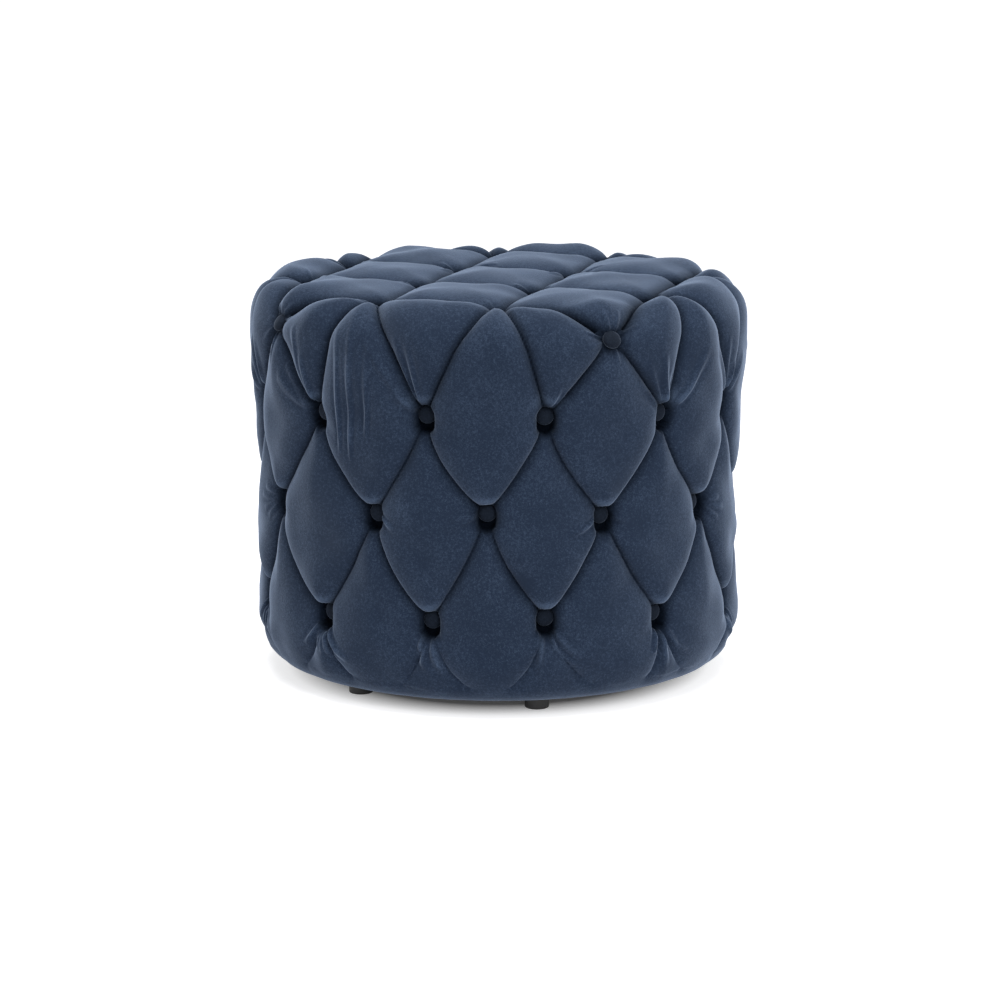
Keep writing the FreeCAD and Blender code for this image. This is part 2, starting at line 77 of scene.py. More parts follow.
class Value:
    """A node socket that takes part in Python expressions."""

    def __init__(self, graph: "Graph", socket: bpy.types.NodeSocket) -> None:
        """Wraps a socket.

        Args:
            graph: The material's graph, which adds the Math nodes.
            socket: The output socket.
        """
        self.graph = graph
        self.socket = socket

    def _math(self, operation: str, other: "Value | float", flipped: bool = False) -> "Value":
        """Adds one Math node.

        Args:
            operation: The node's operation.
            other: The second operand.
            flipped: Whether the operands change places.

        Returns:
            The node's result.
        """
        pair = (other, self) if flipped else (self, other)
        return self.graph.node("ShaderNodeMath", {"operation": operation}, {0: pair[0], 1: pair[1]})

    def __add__(self, other: "Value | float") -> "Value":
        """Sum."""
        return self._math("ADD", other)

    def __radd__(self, other: "Value | float") -> "Value":
        """Sum."""
        return self._math("ADD", other, True)

    def __sub__(self, other: "Value | float") -> "Value":
        """Difference."""
        return self._math("SUBTRACT", other)

    def __rsub__(self, other: "Value | float") -> "Value":
        """Difference."""
        return self._math("SUBTRACT", other, True)

    def __mul__(self, other: "Value | float") -> "Value":
        """Product."""
        return self._math("MULTIPLY", other)

    def __rmul__(self, other: "Value | float") -> "Value":
        """Product."""
        return self._math("MULTIPLY", other, True)

    def __pow__(self, other: "Value | float") -> "Value":
        """Power."""
        return self._math("POWER", other)

    def clamped(self) -> "Value":
        """The value held between 0 and 1."""
        return self.graph.node("ShaderNodeClamp", {}, {0: self})


class Graph:
    """One material's nodes."""

    def __init__(self, name: str) -> None:
        """Starts an empty material.

        Args:
            name: The material's name.
        """
        self.material = bpy.data.materials.new(name)
        self.material.use_nodes = True
        self.tree = self.material.node_tree
        self.tree.nodes.clear()
        self.out = self.tree.nodes.new("ShaderNodeOutputMaterial")

    def node(self, kind: str, settings: dict, inputs: dict, output: int | str = 0) -> Value:
        """Adds any node.

        Args:
            kind: The node's type.
            settings: Its settings, set first. A ramp's stops are under "stops".
            inputs: Values or links of its sockets.
            output: The socket that is returned.

        Returns:
            The node's output.
        """
        made = self.tree.nodes.new(kind)
        for key, value in settings.items():
            if key == "stops":
                ramp = made.color_ramp
                while len(ramp.elements) < len(value):
                    ramp.elements.new(0.5)
                for element, (place, colour) in zip(ramp.elements, value):
                    element.position = place
                    element.color = (*colour, 1.0)
            else:
                setattr(made, key, value)
        for key, value in inputs.items():
            socket = made.inputs[key]
            if isinstance(value, Value):
                self.tree.links.new(value.socket, socket)
            else:
                socket.default_value = value
        return Value(self, made.outputs[output])

    def place(self) -> Value:
        """Object coordinates."""
        return self.node("ShaderNodeTexCoord", {}, {}, "Object")

    def noise(
        self, scale: float, detail: float = 2.0, rough: float = 0.5, where: Value | None = None
    ) -> Value:
        """Noise over the piece.

        Args:
            scale: Waves per metre.
            detail: Octaves.
            rough: Roughness of the octaves.
            where: Coordinates other than the object's.

        Returns:
            The noise, about 0.5 on average.
        """
        spot = where or self.place()
        return self.node(
            "ShaderNodeTexNoise",
            {},
            {"Vector": spot, "Scale": scale, "Detail": detail, "Roughness": rough},
            0,
        )

    def mix(self, share: Value | float, first: Value | tuple, second: Value | tuple) -> Value:
        """Mixes two colours.

        Args:
            share: How much of the second.
            first: A colour or link.
            second: A colour or link.

        Returns:
            The mixed colour.
        """
        made = self.tree.nodes.new("ShaderNodeMix")
        made.data_type = "RGBA"
        for socket, value in ((made.inputs[0], share), (made.inputs[6], first), (made.inputs[7], second)):
            if isinstance(value, Value):
                self.tree.links.new(value.socket, socket)
            elif isinstance(value, tuple):
                socket.default_value = (*value[:3], 1.0)
            else:
                socket.default_value = value
        return Value(self, made.outputs[2])

    def finish(self, shader: Value) -> bpy.types.Material:
        """Links the shader to the output.

        Args:
            shader: The surface shader.

        Returns:
            The material.
        """
        self.tree.links.new(shader.socket, self.out.inputs["Surface"])
        return self.material


# Finishes


@dataclass(frozen=True)
class Velvet:
    """Short-pile velvet: dark where it is looked at squarely, pale where the pile is seen edge on; that
    paleness is painted sheen in the base colour, on top of the shader's own sheen.
    """

    name: str = "blue_velvet"
    deep: tuple[float, float, float] = (0.0106, 0.0202, 0.0420)
    # Painted shade: the near-black colour mixed in where the cloth is drawn deep into pits and pleats.
    pit: tuple[float, float, float] = (0.0012, 0.0022, 0.0042)
    # The pale colour that the tone mixes to: for the random grain, and for painted sheen and painted
    # highlights.
    pale_grain_and_sheen: tuple[float, float, float] = (0.070, 0.105, 0.172)
    sheen: float = 0.82
    sheen_rough: float = 0.4
    sheen_tint: tuple[float, float, float] = (0.41, 0.50, 0.66)

    def build(self) -> bpy.types.Material:
        """Makes the material.

        Returns:
            The material.
        """
        g = Graph(self.name)
        fuzz = g.noise(1100.0, 2.0, 0.6)
        clumps = g.noise(420.0, 3.0, 0.65)
        sweep = g.noise(22.0, 4.0, 0.6)
        # Painted shade mask: how deep the cloth is drawn in, stored on the cover's mesh.
        sunk = g.node("ShaderNodeAttribute", {"attribute_name": "sunk"}, {}, "Fac")
        # Painted highlight: the tufts' tips right above the side buttons are paled.
        pressed = g.node("ShaderNodeAttribute", {"attribute_name": "pressed"}, {}, "Fac")
        # Painted highlight on the small folds' ridges and painted shade in their hollows.
        crest = g.node("ShaderNodeAttribute", {"attribute_name": "crest"}, {}, "Fac")
        # Painted sheen: the base colour pales where the surface is seen at a grazing angle.
        edge = g.node("ShaderNodeLayerWeight", {}, {"Blend": 0.35}, "Facing")
        grain = (sweep - 0.5) * 0.45 + (clumps - 0.5) * 1.05 + (fuzz - 0.5) * 1.25
        # The tone mixes painted sheen, painted highlights and painted fold shade with the random grain.
        tone = (edge**2.2 * 0.9 + pressed * 0.55 + crest * 0.4 + grain + 0.06).clamped()
        colour = g.mix(tone, self.deep, self.pale_grain_and_sheen)
        bump = g.node(
            "ShaderNodeBump", {}, {"Strength": 0.35, "Distance": 0.0006, "Height": fuzz * 0.6 + clumps * 0.8}
        )
        pile = g.node(
            "ShaderNodeBsdfPrincipled",
            {},
            {
                "Base Color": colour,
                "Roughness": 0.85,
                "Specular IOR Level": 0.15,
                "Sheen Weight": self.sheen,
                "Sheen Roughness": self.sheen_rough,
                "Sheen Tint": (*self.sheen_tint, 1.0),
                "Normal": bump,
            },
        )
        # Painted shade: a plain near-black diffuse without sheen, mixed in by the pit mask.
        shade = g.node("ShaderNodeBsdfDiffuse", {}, {"Color": (*self.pit, 1.0), "Roughness": 1.0})
        return g.finish(g.node("ShaderNodeMixShader", {}, {0: sunk * 0.9, 1: pile, 2: shade}))


@dataclass(frozen=True)
class Timber:
    """Sawn wood or plywood with grain along one axis."""

    name: str
    pale: tuple[float, float, float]
    dark: tuple[float, float, float]
    grain: tuple[float, float, float] = (40.0, 40.0, 4.0)

    def build(self) -> bpy.types.Material:
        """Makes the material.

        Returns:
            The material.
        """
        g = Graph(self.name)
        spot = g.node("ShaderNodeMapping", {}, {"Vector": g.place(), "Scale": self.grain})
        bands = g.noise(3.0, 6.0, 0.6, spot)
        fibre = g.noise(30.0, 3.0, 0.6, spot)
        tone = ((bands - 0.5) * 2.2 + (fibre - 0.5) * 0.6 + 0.45).clamped()
        colour = g.mix(tone, self.pale, self.dark)
        bump = g.node("ShaderNodeBump", {}, {"Strength": 0.25, "Distance": 0.0004, "Height": fibre})
        rough = 0.6 + bands * 0.2
        return g.finish(
            g.node("ShaderNodeBsdfPrincipled", {}, {"Base Color": colour, "Roughness": rough, "Normal": bump})
        )


@dataclass(frozen=True)
class Plain:
    """A simple stuff with fine mottling: foam, plastic, twine or steel."""

    name: str
    colour: tuple[float, float, float]
    rough: float = 0.6
    metal: float = 0.0
    scale: float = 300.0
    spread: float = 0.25
    bump: float = 0.0003

    def build(self) -> bpy.types.Material:
        """Makes the material.

        Returns:
            The material.
        """
        g = Graph(self.name)
        speck = g.noise(self.scale, 4.0, 0.6)
        drift = g.noise(self.scale * 0.06, 2.0, 0.5)
        low = tuple(c * (1.0 - self.spread) for c in self.colour)
        high = tuple(min(1.0, c * (1.0 + self.spread)) for c in self.colour)
        tone = ((speck - 0.5) * 1.4 + (drift - 0.5) * 0.8 + 0.5).clamped()
        colour = g.mix(tone, low, high)
        bump = g.node("ShaderNodeBump", {}, {"Strength": 0.4, "Distance": self.bump, "Height": speck})
        rough = (self.rough + (speck - 0.5) * 0.2).clamped()
        return g.finish(
            g.node(
                "ShaderNodeBsdfPrincipled",
                {},
                {"Base Color": colour, "Roughness": rough, "Metallic": self.metal, "Normal": bump},
            )
        )


class Finish(Enum):
    """The finishes of the tuffet."""

    VELVET = Velvet()
    # Painted shade: a darker copy of the velvet with little sheen, for the buttons deep in their pits.
    BUTTON_VELVET = Velvet(
        name="button_velvet", deep=(0.0042, 0.0080, 0.0160), pale_grain_and_sheen=(0.02, 0.03, 0.05), sheen=0.25
    )
    PLYWOOD = Timber("plywood", (0.55, 0.38, 0.22), (0.36, 0.22, 0.11), (30.0, 3.0, 400.0))
    SOFTWOOD = Timber("softwood", (0.62, 0.44, 0.25), (0.42, 0.26, 0.12))
    FOAM = Plain("foam", (0.75, 0.68, 0.42), 0.9, 0.0, 700.0, 0.15, 0.0006)
    BLACK_CLOTH = Plain("black_nonwoven", (0.012, 0.012, 0.013), 0.85, 0.0, 900.0, 0.5, 0.0005)
    STEEL = Plain("zinc_steel", (0.55, 0.55, 0.54), 0.35, 1.0, 500.0, 0.12, 0.0001)
    PLASTIC = Plain("black_plastic", (0.02, 0.02, 0.021), 0.5, 0.0, 800.0, 0.2, 0.0001)
    TWINE = Plain("waxed_twine", (0.6, 0.52, 0.36), 0.75, 0.0, 1500.0, 0.25, 0.0003)


class Workshop:
    """Keeps each finish made once, and the small jobs that every piece needs."""

    def __init__(self) -> None:
        """Starts with no finish made."""
        self.made: dict[Finish, bpy.types.Material] = {}

    def material(self, finish: Finish) -> bpy.types.Material:
        """The finish's material.

        Args:
            finish: Which finish.

        Returns:
            The material, made once.
        """
        if finish not in self.made:
            self.made[finish] = finish.value.build()
        return self.made[finish]

    def dress(self, piece: bpy.types.Object, finish: Finish) -> None:
        """Gives a piece one finish all over.

        Args:
            piece: The piece.
            finish: Its finish.
        """
        piece.data.materials.clear()
        piece.data.materials.append(self.material(finish))

    def only(self, piece: bpy.types.Object) -> None:
        """Makes a piece the only one selected, and active.

        Args:
            piece: The piece.
        """
        bpy.ops.object.select_all(action="DESELECT")
        piece.select_set(True)
        bpy.context.view_layer.objects.active = piece

    def apply(self, piece: bpy.types.Object, modifier: bpy.types.Modifier) -> None:
        """Applies a modifier.

        Args:
            piece: The piece.
            modifier: The modifier to apply.
        """
        self.only(piece)
        bpy.ops.object.modifier_apply(modifier=modifier.name)


def at(angle: float, radius: float, height: float) -> np.ndarray:
    """A point from its angle round the axis, radius and height.

    Args:
        angle: Degrees from the front.
        radius: Metres from the axis.
        height: Metres over the floor.

    Returns:
        The point.
    """
    a = math.radians(angle)
    return np.array([radius * math.sin(a), -radius * math.cos(a), height])


# The shape that the tufts swell out to


@dataclass
class Envelope:
    """The smooth drum over the crests of the tufts."""

    body: float = 0.2445
    shoulder: float = 0.2510
    swell_from: float = 0.26
    swell_to: float = 0.35
    turn: float = 0.3605
    top: float = 0.4060
    inset: float = 0.042
    foot: float = 0.0166
    foot_rise: float = 0.045
    foot_inset: float = 0.028

    def radius(self, height: np.ndarray | float) -> np.ndarray:
        """Radius of the upright wall at a height, before its ends are rounded.

        Args:
            height: Height over the floor.

        Returns:
            The radius.
        """
        t = np.clip((np.asarray(height) - self.swell_from) / (self.swell_to - self.swell_from), 0.0, 1.0)
        return self.body + (self.shoulder - self.body) * t * t * (3.0 - 2.0 * t)

    def climb(self, angle: float, run: float) -> np.ndarray:
        """A point found by walking up the wall, over the rounded edge and in over the top.

        Args:
            angle: Degrees from the front.
            run: Length of the walk from the floor's height.

        Returns:
            The point.
        """
        core = self.shoulder - self.inset
        arc = math.pi / 2.0 * (self.inset + self.top - self.turn) / 2.0
        if run < self.turn:
            return at(angle, float(self.radius(run)), run)
        if run < self.turn + arc:
            a = (1.0 - (run - self.turn) / arc) * math.pi / 2.0
            height = self.turn + (self.top - self.turn) * math.cos(a)
            return at(angle, core + self.inset * math.sin(a), height)
        return at(angle, core - (run - self.turn - arc), self.top)

    def settle(self, points: np.ndarray) -> tuple[np.ndarray, np.ndarray]:
        """Moves points on to the envelope and finds the way out there.

        Args:
            points: Points near the envelope.

        Returns:
            The points and their outward normals.
        """
        x, y, z = points[:, 0], points[:, 1], points[:, 2]
        r = np.hypot(x, y)
        r = np.maximum(r, 1e-6)
        ux, uy = x / r, y / r
        wall = self.radius(z)
        core_top = self.shoulder - self.inset
        core_foot = self.body - self.foot_inset
        out_r, out_z = r.copy(), z.copy()
        n_r, n_z = np.zeros_like(r), np.ones_like(r)
        side = (z <= self.turn) & (z >= self.foot + self.foot_rise) & (r > core_foot - 0.05)
        out_r[side] = wall[side]
        n_r[side], n_z[side] = 1.0, 0.0
        high = (z > self.turn) & (r > core_top)
        a = np.arctan2((r[high] - core_top) / self.inset, (z[high] - self.turn) / (self.top - self.turn))
        out_r[high] = core_top + self.inset * np.sin(a)
        out_z[high] = self.turn + (self.top - self.turn) * np.cos(a)
        n_r[high], n_z[high] = np.sin(a), np.cos(a)
        flat = (z > self.turn) & (r <= core_top)
        out_z[flat] = self.top
        low = (z < self.foot + self.foot_rise) & (r > core_foot)
        drop = self.foot + self.foot_rise - z[low]
        b = np.arctan2((r[low] - core_foot) / self.foot_inset, drop / self.foot_rise)
        out_r[low] = core_foot + self.foot_inset * np.sin(b)
        out_z[low] = self.foot + self.foot_rise * (1.0 - np.cos(b))
        n_r[low], n_z[low] = np.sin(b), -np.cos(b)
        under = (z < self.foot + self.foot_rise) & (r <= core_foot)
        out_z[under] = self.foot
        n_z[under] = -1.0
        length = np.hypot(n_r, n_z)
        n_r, n_z = n_r / length, n_z / length
        settled = np.stack([ux * out_r, uy * out_r, out_z], 1)
        return settled, np.stack([ux * n_r, uy * n_r, n_z], 1)


# Buttons and pleats


@dataclass
class Seat:
    """Where one button sits: on the envelope, its sinking, and the way it looks."""

    angle: float
    surface: np.ndarray
    depth: float
    look: np.ndarray
    row: str


@dataclass
class Layout:
    """The buttons of side and top, and the pleats between them."""

    envelope: Envelope = field(default_factory=Envelope)
    columns: int = 12
    upper: float = 0.298
    middle: float = 0.202
    lower: float = 0.101
    upper_angle: float = 12.0
    pitch: float = 0.117
    grid_turn: float = -18.0
    seat_radius: float = 0.222
    upper_seat_radius: float = 0.2243
    top_seat: float = 0.381
    corner_height: float = 0.3715
    row_sag: float = 0.011
    gussets: dict[int, tuple[float, float]] = field(
        default_factory=lambda: {11: (6.6, 9.4), 0: (8.8, 10.2), 1: (4.0, 7.5), 10: (7.0, 9.0)}
    )
    step: float = 0.0015
    offsets: dict[tuple[str, int], tuple[float, float]] = field(
        default_factory=lambda: {
            ("upper", 10): (0.6, -0.002),
            ("upper", 11): (0.8, 0.001),
            ("upper", 0): (-0.7, 0.0),
            ("upper", 1): (0.9, -0.002),
            ("middle", 9): (-2.6, -0.001),
            ("middle", 10): (2.2, -0.001),
            ("middle", 11): (0.4, 0.002),
            ("middle", 0): (-1.2, -0.002),
            ("middle", 1): (0.6, -0.001),
            ("lower", 10): (1.9, -0.004),
            ("lower", 11): (1.8, -0.003),
            ("lower", 0): (-0.5, 0.0),
            ("lower", 1): (0.2, -0.003),
            ("lower", 2): (3.0, -0.009),
        }
    )

    def side_place(self, row: str, k: int) -> tuple[float, float]:
        """Where a side button was really sewn, a little off its even place.

        Args:
            row: lower, middle or upper.
            k: Which column, from the one right of the front; it may run past a full turn.

        Returns:
            Angle and height.
        """
        step = 360.0 / self.columns
        height = {"lower": self.lower, "middle": self.middle, "upper": self.upper}[row]
        angle = self.upper_angle + step * k + (step / 2.0 if row == "middle" else 0.0)
        column = k % self.columns
        turn, lift = self.offsets.get((row, column), (0.0, 0.0))
        if (row, column) not in self.offsets:
            dice = np.random.default_rng(1000 + 40 * len(row) + column)
            turn, lift = dice.uniform(-1.2, 1.2), dice.uniform(-0.003, 0.003)
        sag = self.row_sag * math.sin(math.radians(angle)) ** 2
        return angle + turn, height - sag + lift

    def on_side(self, angle: float, height: float) -> np.ndarray:
        """A point of the side wall.

        Args:
            angle: Degrees from the front.
            height: Metres over the floor.

        Returns:
            The point on the envelope.
        """
        return at(angle, float(self.envelope.radius(height)), height)

    def seats(self) -> list[Seat]:
        """All the buttons' seats.

        Returns:
            Rows from the lower one to the top's corners.
        """
        found = []
        radii = {"lower": self.seat_radius, "middle": self.seat_radius, "upper": self.upper_seat_radius}
        for name, radius in radii.items():
            for k in range(self.columns):
                angle, height = self.side_place(name, k)
                spot = self.on_side(angle, height)
                depth = float(self.envelope.radius(height)) - radius
                found.append(Seat(angle, spot, depth, at(angle, 1.0, 0.0), name))
        for x, y, corner in self.grid():
            angle = math.degrees(math.atan2(x, -y)) % 360.0
            if corner:
                spot = self.settle_one(at(angle, 0.25, self.corner_height))
                look = at(angle, math.cos(math.radians(35.0)), math.sin(math.radians(35.0)))
                found.append(Seat(angle, spot, 0.0138, look, "corner"))
            else:
                spot = np.array([x, y, self.envelope.top])
                depth = self.envelope.top - self.top_seat
                found.append(Seat(angle, spot, depth, np.array([0.0, 0.0, 1.0]), "top"))
        return found

    def settle_one(self, point: np.ndarray) -> np.ndarray:
        """One point moved on to the envelope."""
        return self.envelope.settle(point[None, :])[0][0]

    def grid(self) -> list[tuple[float, float, bool]]:
        """The top's square grid.

        Returns:
            Each button's place, and whether it is a corner of the grid.
        """
        offsets = [(i - 1.5) * self.pitch for i in range(4)]
        turn = math.radians(self.grid_turn)
        found = []
        for u in offsets:
            for v in offsets:
                x = u * math.cos(turn) - v * math.sin(turn)
                y = u * math.sin(turn) + v * math.cos(turn)
                found.append((x, y, abs(u) > self.pitch and abs(v) > self.pitch))
        return found

    def line(self, first: np.ndarray, last: np.ndarray) -> np.ndarray:
        """Points of a pleat, laid on the envelope.

        Args:
            first: One end.
            last: The other end.

        Returns:
            Points about a step apart.
        """
        count = max(3, int(np.linalg.norm(last - first) / self.step) + 1)
        t = np.linspace(0.0, 1.0, count)[:, None]
        return self.envelope.settle(first + (last - first) * t)[0]

    def round_line(
        self, first: tuple[float, float], last: tuple[float, float], bow: float, peak: float
    ) -> np.ndarray:
        """Points of a pleat on the side wall, bowed where the tuft above hangs over it.

        Args:
            first: Angle and height of the upper end.
            last: Angle and height of the lower end.
            bow: How far it bows, positive towards growing angles.
            peak: Share of its length where it bows most.

        Returns:
            Points about a step apart.
        """
        length = math.hypot(math.radians(last[0] - first[0]) * self.envelope.body, last[1] - first[1])
        count = max(3, int(length / self.step) + 1)
        run = math.radians(last[0] - first[0]) * self.envelope.body / length
        drop = (last[1] - first[1]) / length
        rows = []
        for i in range(count):
            t = i / (count - 1)
            swing = bow * math.sin(math.pi * t ** (math.log(0.5) / math.log(peak)))
            turn = math.degrees(-swing * drop / self.envelope.body)
            height = first[1] + (last[1] - first[1]) * t + swing * run
            rows.append(self.on_side(first[0] + (last[0] - first[0]) * t + turn, height))
        return self.envelope.settle(np.array(rows))[0]

    def over_shoulder(self, first: tuple[float, float], last: np.ndarray) -> np.ndarray:
        """Points of a pleat that climbs from the upper row over the shoulder.

        Args:
            first: Angle and height of the upper row's button.
            last: The top button's place on the envelope.

        Returns:
            Points about a step apart.
        """
        env = self.envelope
        end_angle = math.degrees(math.atan2(last[0], -last[1]))
        end_angle += 360.0 * round((first[0] - end_angle) / 360.0)
        core = env.shoulder - env.inset
        arc = math.pi / 2.0 * (env.inset + env.top - env.turn) / 2.0
        end_radius = math.hypot(last[0], last[1])
        reach = env.turn - first[1] + arc + core - end_radius
        if end_radius > core:
            bent = math.asin(min(1.0, (end_radius - core) / env.inset)) * 2.0 / math.pi
            reach = env.turn - first[1] + arc * (1.0 - bent)
        count = int(reach / self.step) + 1
        shares = [i / (count - 1) for i in range(count)]
        swing = end_angle - first[0]
        return np.array([env.climb(first[0] + swing * t, first[1] + reach * t) for t in shares])

    def pleats(self) -> list[tuple[np.ndarray, str]]:
        """All pleats as lines of points, each with its kind.

        Returns:
            Pairs of points and kind: side, foot, shoulder, rim or top.
        """
        found: list[tuple[np.ndarray, str]] = []
        dice = np.random.default_rng(11)
        for k in range(self.columns):
            high = self.side_place("upper", k)
            low = self.side_place("lower", k)
            for side in (-1, 0):
                middle = self.side_place("middle", k + side)
                out = 1.0 if side < 0 else -1.0
                bow = dice.uniform(0.004, 0.0115)
                found.append((self.round_line(high, middle, out * bow, 0.42), "side"))
                bow = dice.uniform(0.004, 0.0125)
                found.append((self.round_line(middle, low, -out * bow, 0.45), "side"))
            foot = self.envelope.foot + 0.004
            for side, usual in ((-1.0, 8.4), (1.0, 9.6)):
                spread = self.gussets.get(k, (usual, usual))[0 if side < 0 else 1] + dice.uniform(-0.6, 0.6)
                end = (low[0] + side * spread, foot)
                found.append((self.round_line(low, end, side * -0.0035, 0.5), "foot"))
        outer = [
            s
            for s in self.seats()
            if s.row == "corner" or (s.row == "top" and np.hypot(*s.surface[:2]) > 0.12)
        ]
        for k in range(self.columns):
            high = self.side_place("upper", k)
            gaps = sorted(outer, key=lambda s: abs((s.angle - high[0] + 180.0) % 360.0 - 180.0))[:2]
            for seat in gaps:
                found.append((self.over_shoulder(high, seat.surface), "shoulder"))
        spots = [s for s in self.seats() if s.row in ("corner", "top")]
        for i, one in enumerate(spots):
            for j in range(i + 1, len(spots)):
                if self.grid_gap(i, j) == 1:
                    outer = (i // 4 == j // 4 and i // 4 in (0, 3)) or (i % 4 == j % 4 and i % 4 in (0, 3))
                    found.append((self.line(one.surface, spots[j].surface), "rim" if outer else "top"))
        return found

    @staticmethod
    def grid_gap(first: int, second: int) -> int:
        """How many steps lie between two places of the 4 by 4 grid, counted along its lines.

        Args:
            first: Index of one place.
            second: Index of the other.

        Returns:
            The number of steps.
        """
        return abs(first // 4 - second // 4) + abs(first % 4 - second % 4)


@dataclass(frozen=True)
class Fold:
    """A small fold in the cloth."""

    line: np.ndarray
    height: float
    width: float


@dataclass
class Folds:
    """The small folds that fan out from the buttons, and some longer soft ones."""

    layout: Layout
    seed: int = 23
    long_folds: tuple[tuple[float, float, float, float], ...] = (
        (-38.5, 0.262, 2.0, 0.12),
        (-35.5, 0.255, 4.0, 0.135),
        (-31.0, 0.28, 5.0, 0.09),
    )
    upper: dict[int, tuple[float, float, int, float]] = field(
        default_factory=lambda: {
            8: (-50.0, 40.0, 5, 0.06),
            9: (-55.0, 20.0, 5, 0.07),
            10: (-72.0, -4.0, 7, 0.085),
            11: (-58.0, -6.0, 6, 0.085),
            0: (14.0, 55.0, 3, 0.04),
            1: (-50.0, 48.0, 7, 0.075),
            2: (-40.0, 50.0, 5, 0.07),
        }
    )
    sideways: dict[int, tuple[tuple[float, float], ...]] = field(
        default_factory=lambda: {
            9: ((-70.0, 0.03), (-88.0, 0.034), (-104.0, 0.03), (-120.0, 0.024)),
            10: ((-84.0, 0.02), (100.0, 0.022)),
            11: ((-86.0, 0.030), (-99.0, 0.036)),
            0: ((-100.0, 0.038), (95.0, 0.016)),
            1: ((78.0, 0.024), (96.0, 0.03), (115.0, 0.024)),
        }
    )

    def ray(
        self, angle: float, height: float, way: float, start: float, length: float, bend: float
    ) -> np.ndarray:
        """Points along the wall and over its top edge, from a place in some direction.

        Args:
            angle: The place's angle.
            height: The place's height.
            way: Direction, degrees from straight up towards growing angles.
            start: How far from the place the points begin.
            length: How long they run.
            bend: How far the direction turns over that length.

        Returns:
            The points.
        """
        env = self.layout.envelope
        count = max(5, int(length / 0.003))
        x, y = start * math.sin(math.radians(way)), start * math.cos(math.radians(way))
        rows = []
        for i in range(count):
            rows.append(env.climb(angle + math.degrees(x / env.body), height + y))
            turn = math.radians(way + bend * i / count)
            x += math.sin(turn) * length / count
            y += math.cos(turn) * length / count
        return np.array(rows)

    def fan(
        self,
        place: tuple[float, float],
        spread: tuple[float, float, int, float],
        dice: np.random.Generator,
    ) -> list[Fold]:
        """Folds that fan out from a side button.

        Args:
            place: The button's angle and height.
            spread: First and last direction, how many folds, and the longest one's length.
            dice: The source of the small differences.

        Returns:
            The folds.
        """
        first, last, count, longest = spread
        made = []
        for i in range(count):
            way = first + (last - first) * (i + dice.uniform(0.25, 0.75)) / count
            length = longest * dice.uniform(0.45, 1.0)
            line = self.ray(*place, way, 0.009, length, dice.uniform(-0.45, 0.1) * way)
            made.append(Fold(line, dice.uniform(0.0026, 0.0046), dice.uniform(0.0038, 0.0056)))
        return made

    def all(self) -> list[Fold]:
        """Every fold of the cover.

        Returns:
            The folds.
        """
        lay = self.layout
        dice = np.random.default_rng(self.seed)
        made: list[Fold] = []
        for k in range(lay.columns):
            usual = (-dice.uniform(35.0, 60.0), dice.uniform(30.0, 60.0), int(dice.integers(4, 7)), 0.07)
            made += self.fan(lay.side_place("upper", k), self.upper.get(k, usual), dice)
            first, last = 180.0 - dice.uniform(30.0, 48.0), 180.0 + dice.uniform(30.0, 48.0)
            down = (first, last, int(dice.integers(4, 7)), 0.055)
            made += self.fan(lay.side_place("lower", k), down, dice)
            ways = tuple(
                (float(dice.choice([-90.0, 90.0]) + dice.uniform(-15.0, 15.0)), 0.025) for _ in range(2)
            )
            for way, length in self.sideways.get(k, ways):
                line = self.ray(*lay.side_place("middle", k), way, 0.009, length, dice.uniform(-14.0, 14.0))
                made.append(Fold(line, dice.uniform(0.0026, 0.0036), 0.0042))
        for angle, height, way, length in self.long_folds:
            made.append(Fold(self.ray(angle, height, way, 0.0, length, -5.0), 0.0026, 0.0042))
        for seat in lay.seats():
            if seat.row not in ("corner", "top"):
                continue
            count = 7 if seat.row == "corner" else 3
            for i in range(count):
                way = 360.0 * (i + dice.uniform(0.1, 0.9)) / count
                length = dice.uniform(0.018, 0.036)
                if seat.row == "corner":
                    run = lay.envelope.turn + 0.012
                    line = self.ray(seat.angle, run, way, 0.009, length, dice.uniform(-12.0, 12.0))
                else:
                    step = np.array([math.sin(math.radians(way)), math.cos(math.radians(way)), 0.0])
                    reach = np.linspace(0.009, 0.009 + length, 8)[:, None]
                    line = lay.envelope.settle(seat.surface + step * reach)[0]
                made.append(Fold(line, dice.uniform(0.0014, 0.0028), 0.0032))
        return made


# The velvet cover


@dataclass(frozen=True)
class Pleat:
    """How deep one kind of pleat runs, and how far its flanks reach above and below it."""

    middle: float
    start: float
    end: float
    above: float
    below: float
    roundness: float = 2.2


class PleatKind(Enum):
    """The kinds of pleats."""

    side = Pleat(0.0140, 0.023, 0.023, 0.034, 0.058, 2.0)
    foot = Pleat(0.0090, 0.022, 0.0045, 0.030, 0.030, 2.0)
    shoulder = Pleat(0.0160, 0.0220, 0.0240, 0.044, 0.044, 2.0)
    rim = Pleat(0.0200, 0.0245, 0.0245, 0.054, 0.054, 2.0)
    top = Pleat(0.0160, 0.024, 0.024, 0.058, 0.058, 2.0)


